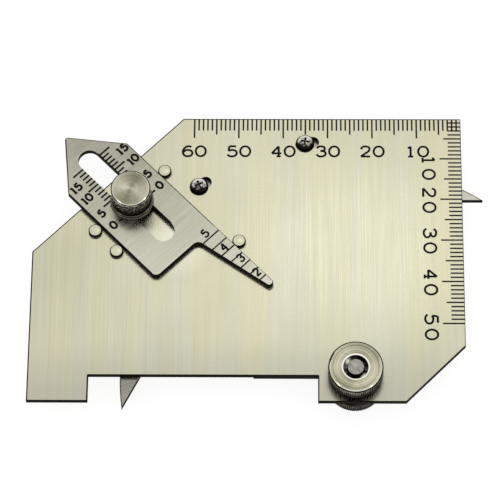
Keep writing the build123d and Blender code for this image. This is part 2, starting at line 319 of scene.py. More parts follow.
def turned_steel(name, bright, shade, axis, roughness, ring=0.22, depth=6.0,
                 fans=0.0, fan_angle=-20, fan_power=2.0, wall=None):
    """Lathe-turned steel about an upright axis.

    ring is a tool mark's width in mm and depth its depth in microns. fans is the strength of the
    painted bow-tie highlight. wall is the colour of painted shade on upright walls, where given.
    """
    material, tree = new_material(name)
    place = add(tree, "ShaderNodeTexCoord").outputs["Object"]
    flat, radius = from_axis(tree, place, axis)
    rings = add(tree, "ShaderNodeTexNoise", {
        "W": radius, "Scale": 1 / (ring * mm), "Detail": 3.0, "Roughness": 0.7},
        noise_dimensions="1D")
    passes = add(tree, "ShaderNodeTexNoise", {
        "W": radius, "Scale": 1 / (0.9 * mm), "Detail": 1.0}, noise_dimensions="1D")
    stain = add(tree, "ShaderNodeTexNoise", {
        "Vector": place, "Scale": 1 / (2.5 * mm), "Detail": 3.0})
    tone = add(tree, "ShaderNodeMath", {0: stain, 1: 0.5, 2: rings}, operation="MULTIPLY_ADD")
    tone = add(tree, "ShaderNodeMath", {0: tone, 1: passes}, operation="ADD")
    tone = add(tree, "ShaderNodeMath", {
        0: bow_tie(tree, flat, fan_angle, fan_power), 1: fans, 2: tone}, operation="MULTIPLY_ADD")
    tone = add(tree, "ShaderNodeMapRange", {
        "Value": tone, "From Min": 0.95 + fans / 2, "From Max": 1.55 + fans * 1.5})
    colour = add(tree, "ShaderNodeMix", {
        0: tone, 6: linear(shade), 7: linear(bright)}, data_type="RGBA").outputs[2]
    metal, mirror = 1.0, 0.5
    if wall:
        metal, mirror = flatness(tree, (0.5, 0.8)), 0.05
        colour = add(tree, "ShaderNodeMix", {
            0: metal, 6: linear(wall), 7: colour}, data_type="RGBA").outputs[2]
    gloss = add(tree, "ShaderNodeMapRange", {
        "Value": rings, "From Min": 0.3, "From Max": 0.7,
        "To Min": roughness - 0.05, "To Max": roughness + 0.08})
    relief = add(tree, "ShaderNodeBump", {
        "Strength": 0.5, "Distance": depth / 1000 * mm, "Height": rings})
    drawn_out = add(tree, "ShaderNodeVectorTransform", {"Vector": flat},
                    vector_type="VECTOR", convert_from="OBJECT", convert_to="WORLD")
    steel = add(tree, "ShaderNodeBsdfPrincipled", {
        "Base Color": colour, "Metallic": metal, "Specular IOR Level": mirror,
        "Roughness": gloss, "Anisotropic": 0.7, "Normal": relief, "Tangent": drawn_out})
    return finished(material, steel)


# %% [markdown]
# ## The turned finishes
# The narrow bevels at the rims are nearly smooth, so they throw a thin sharp glint. The nut's
# recess is painted dark as shade, and its bow tie is narrow and strong, which paints the two bright
# spots that a bore shows across from each other. The end of the shank shows file marks, so it is
# brushed and not turned.

# %% The turned finishes
pivot_axis, smooth_cut = (0, 0), 0.5
# Where fans are given, a bow-tie highlight is painted into the colour: on the knob's and nut's
# tops, in the nut's recess and on the rear head's face.
knob_top = turned_steel("turned_steel_knob_top", "#C4BFAC", "#77755F", knob_axis, 0.3, fans=0.8)
knob_bright = turned_steel(
    "turned_steel_knob_bevel", "#D8D5C2", "#A8A592", knob_axis, 0.06, depth=smooth_cut)
# The collar is a darker copy of the knob's steel, painted shade below the grip.
collar_shade = turned_steel(
    "turned_steel_knob_collar", "#6E6B5B", "#3E3C32", knob_axis, 0.07, depth=smooth_cut)
nut_top = turned_steel(
    "turned_steel_nut_top", "#DAD6BC", "#7A7761", pivot_axis, 0.28, ring=0.3, fans=0.3)
nut_bright = turned_steel(
    "turned_steel_nut_bevel", "#E4E2D0", "#C0BEAA", pivot_axis, 0.06, depth=smooth_cut)
# The countersink is painted nearly white, a painted highlight ring.
cone_highlight = turned_steel("turned_steel_countersink", "#FFFEF6", "#EFEDE2", pivot_axis, 0.18)
# The recess is painted dark as shade, and its narrow fans paint two glints.
recess_shade_and_glints = turned_steel(
    "shaded_steel_recess_with_glints", "#FFFBEA", "#14120B", pivot_axis, 0.25,
    fans=4.0, fan_angle=-48, fan_power=30)
# The rear head's face is painted dark as the shade under the plate, with a painted bow tie, and its
# walls near black as shade.
head_shade_and_sheen = turned_steel(
    "shaded_steel_head_face_with_sheen", "#5E5B4C", "#080706", pivot_axis, 0.3, fans=1.5, wall="#0B0907")
# The washers are painted darker as the shade under knob and nut, and their walls near black.
washer_finish = turned_steel(
    "turned_steel_washer", "#8F8D80", "#6E6C60", pivot_axis, 0.3, wall="#0E0C09")
clamp_washer_finish = turned_steel(
    "turned_steel_clamp_washer", "#8E8C7F", "#56544A", knob_axis, 0.25, wall="#0E0C09")
shank_end = brushed_sheet(
    "filed_steel_shank_end", "#C4C3BC", "#55544E", "#9A988A", "#0E0C09", 128, run=2)

# %% [markdown]
# ## Knurled steel
# A knurl is pressed into the rim by hardened wheels. Its crests are pale and the grooves between
# them nearly black, partly the real bright crests and oily grooves and partly painted highlight and
# painted shade, so a knurled rim looks dark with pale points; it is also painted darker towards its
# lower edge as shade. The colour follows the distance from the axis: pale at the crest's radius and
# nearly black at the root's.


# %% Knurled steel
def knurled_steel(name, crest_colour, root_colour, axis, crest, root, deepest_shade_height, painted_light_level):
    """Knurled rim; crest and root are radii in mm; painted shade deepens down between two heights.
    """
    roughness = 0.3
    material, tree = new_material(name)
    place = add(tree, "ShaderNodeTexCoord").outputs["Object"]
    height = add(tree, "ShaderNodeMapRange", {
        "Value": from_axis(tree, place, axis)[1], "From Min": root * mm, "From Max": crest * mm})
    oil = add(tree, "ShaderNodeTexNoise", {"Vector": place, "Scale": 1 / (0.7 * mm), "Detail": 3.0})
    pale_share = add(tree, "ShaderNodeMath", {0: height, 1: oil}, operation="MULTIPLY")
    split = add(tree, "ShaderNodeSeparateXYZ", {"Vector": place})
    painted_light_ramp = add(tree, "ShaderNodeMapRange", {
        "Value": split.outputs["Z"], "From Min": deepest_shade_height * mm, "From Max": painted_light_level * mm,
        "To Min": 0.15})
    pale_share = add(tree, "ShaderNodeMath", {0: pale_share, 1: painted_light_ramp}, operation="MULTIPLY")
    pale_share = add(tree, "ShaderNodeMapRange", {"Value": pale_share, "From Min": 0.2, "From Max": 0.42})
    colour = add(tree, "ShaderNodeMix", {
        0: pale_share, 6: linear(root_colour), 7: linear(crest_colour)}, data_type="RGBA")
    gloss = add(tree, "ShaderNodeMapRange", {
        "Value": oil, "To Min": roughness - 0.08, "To Max": roughness + 0.12})
    steel = add(tree, "ShaderNodeBsdfPrincipled", {
        "Base Color": colour.outputs[2], "Metallic": pale_share, "Specular IOR Level": 0.02,
        "Roughness": gloss})
    return finished(material, steel)


# Each knurl is painted pale at its crests and near black in its grooves, and darker towards its
# lower edge as shade.
knob_knurl = knurled_steel(
    "knurled_steel_knob", "#FFFAE6", "#14120E", knob_axis, 4.45, 4.33, 9.2, 12.4)
nut_knurl = knurled_steel(
    "knurled_steel_nut", "#E0DAC6", "#060504", pivot_axis, 6.0, 5.92, 7.8, 10.4)
head_knurl = knurled_steel(
    "knurled_steel_head", "#8E8A78", "#030302", pivot_axis, 6.25, 6.16, 0.0, 3.4)

# %% [markdown]
# ## Ink and bright plating
# The graduations and figures are filled with black stoving ink. It dries a little uneven, so it is
# not one flat black. The two small screws are nickel plated. Their domes are polished and show
# their surroundings almost like a mirror. Each dome is painted lighter on the side towards the
# plate's top and darker on the other as shade, and the cross and the skirt round its base are
# painted nearly black as shade.


# %% Ink and bright plating
def stoved_ink(name, dense, thin):
    """Dull black ink, a little thinner in places."""
    material, tree = new_material(name)
    place = add(tree, "ShaderNodeTexCoord").outputs["Object"]
    patch = add(tree, "ShaderNodeTexNoise", {
        "Vector": place, "Scale": 1 / (0.8 * mm), "Detail": 4.0})
    thinness = add(tree, "ShaderNodeMapRange", {"Value": patch, "From Min": 0.4, "From Max": 0.75})
    colour = add(tree, "ShaderNodeMix", {
        0: thinness, 6: linear(dense), 7: linear(thin)}, data_type="RGBA")
    relief = add(tree, "ShaderNodeBump", {"Strength": 0.2, "Distance": 0.01 * mm, "Height": patch})
    ink = add(tree, "ShaderNodeBsdfPrincipled", {
        "Base Color": colour.outputs[2], "Roughness": 0.8, "Specular IOR Level": 0.12,
        "Normal": relief})
    return finished(material, ink)


def bright_nickel(name, bright, shade, roughness):
    """Nickel plate with faint water marks, painted lighter on the side towards the plate's top."""
    material, tree = new_material(name)
    place = add(tree, "ShaderNodeTexCoord")
    mark = add(tree, "ShaderNodeTexNoise", {
        "Vector": place.outputs["Object"], "Scale": 1 / (0.7 * mm), "Detail": 3.0})
    split = add(tree, "ShaderNodeSeparateXYZ", {"Vector": place.outputs["Normal"]})
    lit_share = add(tree, "ShaderNodeMath", {0: split.outputs["Y"], 1: 0.9, 2: mark},
                operation="MULTIPLY_ADD")
    lit_share = add(tree, "ShaderNodeMapRange", {"Value": lit_share, "From Min": 0.25, "From Max": 0.7})
    colour = add(tree, "ShaderNodeMix", {
        0: lit_share, 6: linear(shade), 7: linear(bright)}, data_type="RGBA")
    gloss = add(tree, "ShaderNodeMapRange", {
        "Value": mark, "To Min": roughness - 0.04, "To Max": roughness + 0.08})
    nickel = add(tree, "ShaderNodeBsdfPrincipled", {
        "Base Color": colour.outputs[2], "Metallic": 1.0, "Roughness": gloss})
    return finished(material, nickel)


# The ink's black also serves as the painted edge shade along the sheets' edges.
ink_and_edge_shade = stoved_ink("black_ink_and_edge_shade", "#080706", "#1A1815")
# The screw's dome is painted darker on its side away from the plate's top, as shade.
screw_finish = bright_nickel("bright_nickel_screw", "#D6D4CC", "#1C1B18", 0.14)
# The cross and the skirt are painted dark as the shade in the recess and round the dome's base.
screw_cross_shade = bright_nickel("shaded_nickel_cross", "#4E4B43", "#100F0C", 0.25)
screw_skirt_shade = bright_nickel("shaded_nickel_skirt", "#16140F", "#080705", 0.3)

# %% [markdown]
# ## Helpers for pieces
# A turned piece is a profile spun round an upright axis, which is what a lathe does. The profile is
# given as radius and height in millimetres. After a full spin the seam is merged and the normals
# are worked out again, because a spin may leave them pointing inwards.


# %% Helpers for pieces
def put(name, data):
    """Puts an object into the scene, with a mesh, a curve, a lamp or a camera."""
    thing = bpy.data.objects.new(name, data)
    bpy.context.scene.collection.objects.link(thing)
    return thing


def mesh_of(name, bm):
    """Turns a bmesh into a mesh."""
    mesh = bpy.data.meshes.new(name)
    bm.to_mesh(mesh)
    bm.free()
    return mesh


def shaped(thing):
    """The mesh that an object shows, with its modifier or its bevel."""
    bpy.context.view_layer.update()
    graph = bpy.context.evaluated_depsgraph_get()
    return bpy.data.meshes.new_from_object(thing.evaluated_get(graph))


def finish_piece(name, bm, body, slot, *finishes):
    """Makes an object of a bmesh, with its finishes, riding on a body."""
    piece = put(name, mesh_of(name, bm))
    for finish in finishes:
        piece.data.materials.append(finish)
    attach(piece, body)
    print("piece:", name, len(piece.data.polygons), "faces")
    return piece


def turned(profile, steps, axis=(0, 0), level=0.0):
    """Spins a profile of (radius, height) points in mm about an upright axis."""
    bm = bmesh.new()
    ring = [bm.verts.new((radius * mm, 0, height * mm)) for radius, height in profile]
    for start, end in zip(ring, ring[1:]):
        bm.edges.new((start, end))
    bmesh.ops.spin(bm, geom=bm.verts[:] + bm.edges[:], cent=(0, 0, 0), axis=(0, 0, 1),
                   angle=2 * pi, steps=steps, use_merge=True)
    bmesh.ops.remove_doubles(bm, verts=bm.verts, dist=0.0005 * mm)
    bmesh.ops.recalc_face_normals(bm, faces=bm.faces)
    bmesh.ops.translate(bm, verts=bm.verts, vec=(axis[0], axis[1], level))
    return bm


def paint(bm, choices, axis=(0, 0), level=0.0):
    """Gives the finish of a number to the faces that its choice of radius and height picks."""
    for face in bm.faces:
        middle = face.calc_center_median()
        radius = ((middle.x - axis[0]) ** 2 + (middle.y - axis[1]) ** 2) ** 0.5 / mm
        for finish, choose in choices.items():
            if choose(radius, (middle.z - level) / mm):
                face.material_index = finish


def smooth_round(bm, limit):
    """Shades curved walls smooth, and keeps edges sharp from a limit in degrees."""
    for face in bm.faces:
        face.smooth = True
    for edge in bm.edges:
        if edge.is_manifold:
            edge.smooth = edge.calc_face_angle(0) < radians(limit)


knob_steps = 128
print("a step of the knob's rim is", round(2 * 4.45 * sin(pi / knob_steps), 3), "mm long")

# %% [markdown]
# ## The thumb knob
# The knob has a collar below, a narrow groove, and a tall grip under a bevelled top. One profile
# holds all of it, and each face gets its finish by its radius and height.

# %% The knob's body
knob_level = knob_low[2]
knob_profile = [
    (0, 5.74), (0.25, 5.75), (0.4, 5.8), (3.97, 5.8), (4.16, 5.61), (4.18, 5.59), (4.4, 5.52),
    (4.44, 5.46), (4.24, 5.42), (4.24, 0.98), (4.34, 0.94), (4.34, 0.84), (4.2, 0.76),
    (4.1, 0.74), (4.1, 0.52), (4.48, 0.5), (4.6, 0.38), (4.6, 0.1), (4.54, 0.0), (2.05, 0.0),
    (2.05, 4.2), (0, 4.2),
]
knob_bevel, knob_grip, knob_collar = 1, 2, 3
knob = turned(knob_profile, knob_steps, knob_axis, knob_level)
smooth_round(knob, 30)
paint(knob, {
    knob_grip: lambda r, h: h < 5.7 and r > 2.0,
    knob_bevel: lambda r, h: h > 5.6 and 4.0 < r < 4.155,
    knob_collar: lambda r, h: 0.4 < h < 0.49 and r > 4.5}, knob_axis, knob_level)
knob_body = finish_piece(
    "knob_turned_body", knob, "knob", "turned_steel",
    knob_top, knob_bright, knob_knurl, collar_shade)
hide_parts("thumb_knob")

# %% [markdown]
# ## The knob's diamond knurl
# A diamond knurl is two sets of slanting grooves that cross, which leaves small pyramids. A grid
# of quads becomes those pyramids when every second corner is raised and each quad is folded along
# its two low corners, and the grid is then wrapped round the grip.

# %% The knob's diamond knurl
columns, rows = 88, 14
grip_low, grip_high, grip_root, grip_crest = 0.98, 5.42, 4.26, 4.45
knurl = bmesh.new()
bmesh.ops.create_grid(knurl, x_segments=columns, y_segments=rows, size=0.5)
low_corners = []
for corner in knurl.verts:
    column = round((corner.co.x + 0.5) * columns)
    row = round((corner.co.y + 0.5) * rows)
    raised = (column + row) % 2 == 0 and 0 < row < rows
    radius = (grip_crest if raised else grip_root) * mm
    if not raised:
        low_corners.append(corner)
    turn = 2 * pi * column / columns
    height = (grip_low + (grip_high - grip_low) * row / rows) * mm
    corner.co = (
        knob_axis[0] + radius * cos(turn), knob_axis[1] + radius * sin(turn), knob_level + height)
bmesh.ops.connect_verts(knurl, verts=low_corners)
bmesh.ops.remove_doubles(knurl, verts=knurl.verts, dist=0.001 * mm)
bmesh.ops.recalc_face_normals(knurl, faces=knurl.faces)
finish_piece("knob_diamond_knurl", knurl, "knob", "turned_steel", knob_knurl)

# %% [markdown]
# ## The ring nut
# It has a straight knurl: fine teeth side by side, each with a sharp crest. A spun ring with twice
# as many steps as teeth becomes a knurl when every second column of the band is pulled in to the
# root. The nut's face has a countersink round a deep recess, where the end of the screw shows.


# %% The ring nut
def straight_knurl(bm, low, high, root, teeth, level=0.0):
    """Pulls every second column of a band in to the root, in mm."""
    for corner in bm.verts:
        height = (corner.co.z - level) / mm
        radius = corner.co.xy.length
        if low <= height <= high and radius > (root + 0.01) * mm:
            column = round(atan2(corner.co.y, corner.co.x) / (pi / teeth))
            if column % 2:
                corner.co.xy *= root * mm / radius


nut_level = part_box("pivot_nut")[0][2]
nut_teeth = 84
nut_profile = [
    (2.7, 2.2), (2.7, 3.42), (2.76, 3.54), (3.02, 3.68), (3.08, 3.7), (5.5, 3.7), (5.69, 3.51),
    (5.71, 3.49), (5.92, 3.43), (6.0, 3.36), (6.0, 0.34), (5.85, 0.3), (5.6, 0.0), (1.95, 0.0),
    (1.95, 2.2), (2.7, 2.2),
]
nut_bevel, nut_rim, nut_recess, nut_cone = 1, 2, 3, 4
nut = turned(nut_profile, 2 * nut_teeth, pivot_axis, nut_level)
straight_knurl(nut, 0.33, 3.37, 5.86, nut_teeth, nut_level)
smooth_round(nut, 20)
paint(nut, {
    nut_rim: lambda r, h: r > 5.69 or h < 0.2,
    nut_bevel: lambda r, h: h > 3.5 and 5.52 < r < 5.685,
    nut_recess: lambda r, h: h > 0.2 and r < 2.74,
    nut_cone: lambda r, h: 2.74 < r < 3.07 and h > 3.2}, pivot_axis, nut_level)
nut_body = finish_piece(
    "nut_turned_body", nut, "front_nut", "turned_steel",
    nut_top, nut_bright, nut_knurl, recess_shade_and_glints, cone_highlight)
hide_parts("pivot_nut")

# %% [markdown]
# ## The rear head and its shank
# The head behind the plate has the same knurl between two plain lips. Its shank goes through the
# sheets into the nut's recess. Head and shank are one profile, as they are one screw.

# %% The rear head and its shank
head_teeth, teeth_low, teeth_high = 87, 0.33, 3.17
head_profile = [
    (0, 0.0), (5.8, 0.0), (6.06, 0.3), (6.25, 0.34), (6.25, 3.16), (6.06, 3.2), (5.8, 3.5),
    (1.9, 3.5), (1.9, 10.7), (1.75, 10.95), (1.6, 11.0), (0.0, 11.02),
]
head_rim, head_shank = 1, 2
head = turned(head_profile, 2 * head_teeth)
straight_knurl(head, teeth_low, teeth_high, 6.1, head_teeth)
smooth_round(head, 20)
paint(head, {
    head_rim: lambda r, h: r > 6.0 and teeth_low < h < teeth_high,
    head_shank: lambda r, h: r < 2.0 and h > 3.6})
head_body = finish_piece(
    "pivot_screw_turned_body", head, "rear_screw", "turned_steel", head_shade_and_sheen, head_knurl, shank_end)
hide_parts("pivot_screw")

# %% [markdown]
# ## Washers, bush and stud
# These solids are already right, and only their finish is missing.

# %% Washers, bush and stud
dress("pivot_washer", washer_finish)
dress("pivot_bush", washer_finish)
dress("clamp_washer", clamp_washer_finish)
dress("clamp_stud", clamp_washer_finish)
print("turned finishes on two washers, the bush and the stud")

# %% [markdown]
# ## The cross punch
# The recess in a small screw is struck by a punch. Two crossed bars and a Boolean modifier leave
# the same recess with its sharp edges.

# %% The cross punch
dome_height = 1.4
cross_span, cross_width, cross_depth = 2.0, 0.46, 0.7


def punch_cross(screw, axis, turn):
    """The mesh of a screw with a cross in its head, turned by some degrees."""
    bars = bmesh.new()
    for quarter in (0, 90):
        bar = bmesh.ops.create_cube(bars, size=1.0)["verts"]
        bmesh.ops.scale(
            bars, vec=(cross_span * mm, cross_width * mm, 2 * cross_depth * mm), verts=bar)
        bar_turn = Matrix.Rotation(radians(turn + quarter), 3, "Z")
        bmesh.ops.rotate(bars, cent=(0, 0, 0), matrix=bar_turn, verts=bar)
    bmesh.ops.translate(
        bars, verts=bars.verts, vec=(axis[0], axis[1], plate_front + dome_height * mm))
    punch = put("cross_punch", mesh_of("cross_punch", bars))
    cut = screw.modifiers.new("cross", "BOOLEAN")
    cut.operation, cut.solver, cut.use_self, cut.object = "DIFFERENCE", "EXACT", True, punch
    struck = shaped(screw)
    screw.modifiers.remove(cut)
    bpy.data.objects.remove(punch)
    return struck


print("the cross is", cross_depth, "mm deep")

# %% [markdown]
# ## The two index screws
# Pan head screws, each a spun dome over a thin skirt. The faces inside the cross are found by
# their place and slope, because the cut made them anew.

# %% The two index screws
screw_profile = [
    (0, dome_height), (0.6, 1.38), (1.1, 1.31), (1.4, 1.21), (1.58, 1.08), (1.68, 0.9),
    (1.72, 0.66), (1.73, 0.5), (1.9, 0.42), (2.06, 0.3), (2.1, 0.2), (2.1, 0.04), (2.0, 0.0),
    (1.0, 0.0), (1.0, -3.0), (0, -3.0),
]
cross_floor, cross_reach, skirt_start = 0.9, 1.0, 1.66
on_dome, on_cross, on_skirt = 0, 1, 2


def cross_recess_screw(name, node, turn):
    """A domed screw over its solid, with a cross recess turned by some degrees."""
    low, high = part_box(node)
    axis = ((low[0] + high[0]) / 2, (low[1] + high[1]) / 2)
    dome = turned(screw_profile, 64, axis, plate_front)
    smooth_round(dome, 40)
    screw = finish_piece(
        name, dome, "frame", "bright_screw", screw_finish, screw_cross_shade, screw_skirt_shade)
    screw.data = punch_cross(screw, axis, turn)
    for face in screw.data.polygons:
        radius = ((face.center.x - axis[0]) ** 2 + (face.center.y - axis[1]) ** 2) ** 0.5
        cut = abs(face.normal.z) < 0.2 or face.center.z < plate_front + cross_floor * mm
        face.material_index = on_skirt if radius > skirt_start * mm else on_dome
        if radius < cross_reach * mm and cut and face.center.z > plate_front:
            face.material_index = on_cross
    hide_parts(node)


cross_recess_screw("index_screw_left_domed", "index_screw_left", 25)
cross_recess_screw("index_screw_right_domed", "index_screw_right", -10)

# %% [markdown]
# ## Caps of the guide buttons
# Four buttons keep the slider on its line. Each is a pin whose end was rounded by the riveting
# tool, so a thin spun cap goes over the plain solid.

# %% Caps of the guide buttons
button_offset = 10.55
button_spots = [
    (-0.6, button_offset), (23.4, button_offset), (-0.7, -button_offset), (6.2, -button_offset)]
cap_profile = [
    (0, 0.95), (0.7, 0.94), (0.98, 0.91), (1.18, 0.85), (1.34, 0.74), (1.44, 0.58), (1.5, 0.38),
    (1.51, 0.02), (1.4, 0.0), (0, 0.0),
]
caps = bmesh.new()
for station, offset in button_spots:
    cap_mesh = mesh_of("cap", turned(cap_profile, 48, on_slider(station, offset), plate_front))
    caps.from_mesh(cap_mesh)
    bpy.data.meshes.remove(cap_mesh)
smooth_round(caps, 50)
# The caps' rim colour is a painted shade, a dark ring round each button.
button_finish = brushed_sheet(
    "brushed_stainless_button", "#D6D4C0", "#C6C4B0", "#CEC8A2", "#4A4738", 90, lip=(0.8, 0.99))
finish_piece("guide_button_caps", caps, "frame", "plate_steel", button_finish)

# %% [markdown]
# ## Ink in the graduations
# Each graduation is a shallow groove in the steel, filled with ink that dries a hair proud of it. A
# slim bar of ink lies in each groove, and all bars of a piece are one mesh. The bars stop short of
# the sheet's rim, which is bevelled.

# %% Bars of ink
ink_proud, ink_thick = 0.004, 0.04
rim_bevel = 0.14


def lay_ink(bm, start, direction, length, level, up=1, width=0.36):
    """A bar of ink along a direction, a hair over a level; up is -1 on a face that looks down."""
    bar = bmesh.ops.create_cube(bm, size=1.0)["verts"]
    bmesh.ops.scale(bm, vec=(length, width * mm, ink_thick * mm), verts=bar)
    turn = Matrix.Rotation(atan2(direction[1], direction[0]), 3, "Z")
    bmesh.ops.rotate(bm, cent=(0, 0, 0), matrix=turn, verts=bar)
    middle = Vector(start) + Vector(direction).normalized() * length / 2
    depth = (ink_thick / 2 - ink_proud) * mm * up
    bmesh.ops.translate(bm, verts=bar, vec=(middle.x, middle.y, level - depth))


def scale_line(count):
    """Length of a millimetre line: longest at the tens and shortest between the fives."""
    return (4.9 if count % 10 == 0 else 4.0 if count % 5 == 0 else 3.0) * mm


print("a bar of ink is", ink_thick, "mm thick")

# %% [markdown]
# ## The scales
# The plate has 60 mm along its top and 50 mm down its right edge, both from one corner. The slider
# has 15 mm on both sides of its slot and the steps of its wedge. The sector's back has a line for
# every five degrees, read against one line on the index plate.

# %% Ink on the plate
plate_ink = bmesh.new()
for count in range(1, 61):
    start = plate_corner + Vector((-count, -rim_bevel)) * mm
    lay_ink(plate_ink, start, (0, -1), scale_line(count) - rim_bevel * mm, plate_front)
for count in range(1, 51):
    start = plate_corner + Vector((-rim_bevel, -count)) * mm
    lay_ink(plate_ink, start, (-1, 0), scale_line(count) - rim_bevel * mm, plate_front)
finish_piece("plate_graduations", plate_ink, "frame", "plate_steel", ink_and_edge_shade)

# %% Ink on the slider
slider_edge, slot_edge, zero_station = 9, 2.5, 1.65
wedge_station, wedge_pitch, wedge_gap, wedge_step = 18.65, 2.5, 5.0, 0.5
slider_ink = bmesh.new()
for count in range(16):
    for side in (1, -1):
        start = on_slider(zero_station - count, side * slot_edge)
        length = (3.0 if count % 5 == 0 else 1.9) * mm
        lay_ink(slider_ink, start, across * side, length, slider_front, width=0.44)
for count in range(7):
    start = on_slider(wedge_station + wedge_pitch * count, slider_edge - rim_bevel)
    length = (wedge_gap - wedge_step * count - 2 * rim_bevel) * mm
    lay_ink(slider_ink, start, -across, length, slider_front, width=0.34)
finish_piece("slider_graduations", slider_ink, "slider", "slider_steel", ink_and_edge_shade)

# %% Ink on the sector and its index
sector_radius, index_angle = 51.3, 114.4
index_middle = radians(index_angle)
sector_ink = bmesh.new()
for count in range(-50, 51, 5):
    outward = Vector((cos(index_middle + radians(count)), sin(index_middle + radians(count))))
    length = (3.5 if count % 10 == 0 else 2.1) * mm
    lay_ink(
        sector_ink, outward * (sector_radius - 0.3) * mm, -outward, length, sector_back, -1, 0.3)
finish_piece("sector_graduations", sector_ink, "sector", "slider_steel", ink_and_edge_shade)

index_ink = bmesh.new()
outward = Vector((cos(index_middle), sin(index_middle)))
lay_ink(index_ink, outward * (sector_radius + 0.44) * mm, outward, 3.36 * mm, index_back, -1, 0.3)
finish_piece("index_graduation", index_ink, "frame", "slider_steel", ink_and_edge_shade)

# %% [markdown]
# ## Painted edge shade
# A thin dark line of painted shade, in the black of the ink, goes along the edges; without it a
# pale face would melt into the white table. Each line is a path of points, and slim bars are laid
# from point to point, a little inside the edge. On the sector's beaks the line lies on the bevel,
# outside the face and a little lower.


# %% Painted edge shade of the plate
def burr_line(bm, path, level, width, inset=rim_bevel):
    """Lays a line of painted shade along a path, an inset in mm to its left."""
    for start, end in zip(path, path[1:]):
        inward = (end - start).normalized().orthogonal() * (inset + width / 2) * mm
        lay_ink(bm, start + inward, end - start, (end - start).length, level, width=width)


cut_corner, left_foot, notch_width, notch_depth = 33 * mm, 13.3 * mm, 50 * mm, 6 * mm
notch_left = plate_low.x + left_foot
notch_right = notch_left + notch_width
plate_edge_shade = bmesh.new()
burr_line(plate_edge_shade, [
    plate_corner, Vector((plate_low.x + cut_corner, plate_corner.y)),
    Vector((plate_low.x, plate_corner.y - cut_corner)), plate_low], plate_front, 0.15)
for x, order in ((notch_right, -1), (notch_left, 1)):
    ends = [Vector((x, plate_low.y)), Vector((x, plate_low.y + notch_depth))]
    burr_line(plate_edge_shade, ends[::order], plate_front, 0.12)
finish_piece("plate_edge_shade", plate_edge_shade, "frame", "plate_steel", ink_and_edge_shade)

# %% Painted edge shade of the slider and the sector
slider_edge_shade = bmesh.new()
for stations, width, inset in (
        (((17, 9), (-11.2, 9), (-21.9, 0.2)), 0.08, rim_bevel),
        (((-21.9, -0.2), (-11.5, -8.8)), 0.14, rim_bevel),
        (((-13.9, 2.4), (10.1, 2.4)), 0.26, 0.04),
        (((-11.2, -9), (16, -9)), 0.1, rim_bevel)):
    burr_line(slider_edge_shade, [on_slider(*spot) for spot in stations], slider_front, width, inset)
finish_piece("slider_edge_shade", slider_edge_shade, "slider", "slider_steel", ink_and_edge_shade)

sector_edge_shade = bmesh.new()
arc = [Vector((cos(radians(a)), sin(radians(a)))) * sector_radius * mm for a in range(56, 189, 2)]
burr_line(sector_edge_shade, arc, sector_front, 0.14)
left_beak, right_beak = ((-50.6, -7.1), (-46.2, 1.7)), ((21.0, 42.63), (28.3, 42.63))
for beak in (left_beak, right_beak):
    ends = [Vector(point) * mm for point in beak]
    burr_line(sector_edge_shade, ends, sector_front - 0.08 * mm, 0.2, -0.18)
finish_piece("sector_edge_shade", sector_edge_shade, "sector", "slider_steel", ink_and_edge_shade)

# %% [markdown]
# ## Figures
# The figures are drawn with a round-nosed engraving pen, so their strokes have one width and round
# ends. Each is a few strokes through points on a box one unit high: lines, bends and closed loops.

# %% Strokes of the figures
line, bend, loop = "line", "bend", "loop"
figure_strokes = {
    "0": [(loop, [(0.45, 1.0), (0.0, 0.5), (0.45, 0.0), (0.9, 0.5)])],
    "1": [
        (bend, [(0.24, 0.84), (0.38, 0.9), (0.5, 1.0)]),
        (line, [(0.5, 1.0), (0.5, 0.0)]),
        (line, [(0.27, 0.0), (0.73, 0.0)])],
    "2": [
        (bend, [(0.05, 0.72), (0.18, 0.94), (0.46, 1.0), (0.78, 0.86), (0.76, 0.6), (0.42, 0.3),
                (0.03, 0.0)]),
        (line, [(0.03, 0.0), (0.86, 0.0)])],
    "3": [
        (bend, [(0.08, 0.8), (0.22, 0.96), (0.5, 1.0), (0.77, 0.87), (0.74, 0.64), (0.4, 0.54)]),
        (bend, [(0.4, 0.54), (0.76, 0.47), (0.86, 0.22), (0.62, 0.02), (0.28, 0.01), (0.03, 0.2)])],
    "4": [
        (line, [(0.64, 0.0), (0.64, 1.0)]),
        (line, [(0.64, 1.0), (0.02, 0.3)]),
        (line, [(0.02, 0.3), (0.88, 0.3)]),
        (line, [(0.46, 0.0), (0.82, 0.0)])],
    "5": [
        (line, [(0.8, 1.0), (0.2, 1.0)]),
        (line, [(0.2, 1.0), (0.13, 0.54)]),
        (bend, [(0.13, 0.54), (0.45, 0.63), (0.8, 0.5), (0.84, 0.2), (0.56, 0.0), (0.22, 0.02),
                (0.02, 0.16)])],
    "6": [
        (bend, [(0.78, 0.92), (0.52, 1.0), (0.18, 0.82), (0.03, 0.4), (0.2, 0.06), (0.5, 0.0),
                (0.82, 0.14), (0.83, 0.46), (0.52, 0.62), (0.2, 0.54), (0.04, 0.36)])],
}
print("figures:", "".join(figure_strokes))

# %% [markdown]
# ## The engraving pen
# A curve with a round bevel is exactly such a pen. Its mesh is then pressed flat, so that the ink
# is only a skin. Figures on the back are drawn mirrored, so that they read right from behind.


# %% The engraving pen
def pen_strokes(curve, letter, move):
    """Adds a figure's strokes to a curve; move takes a point of the unit box to its place."""
    for kind, points in figure_strokes[letter]:
        stroke = curve.splines.new("BEZIER")
        stroke.bezier_points.add(len(points) - 1)
        stroke.use_cyclic_u = kind == loop
        for knot, (x, y) in zip(stroke.bezier_points, points):
            spot = move(x, y)
            knot.co = (spot.x, spot.y, 0)
            knot.handle_left_type = knot.handle_right_type = "VECTOR" if kind == line else "AUTO"


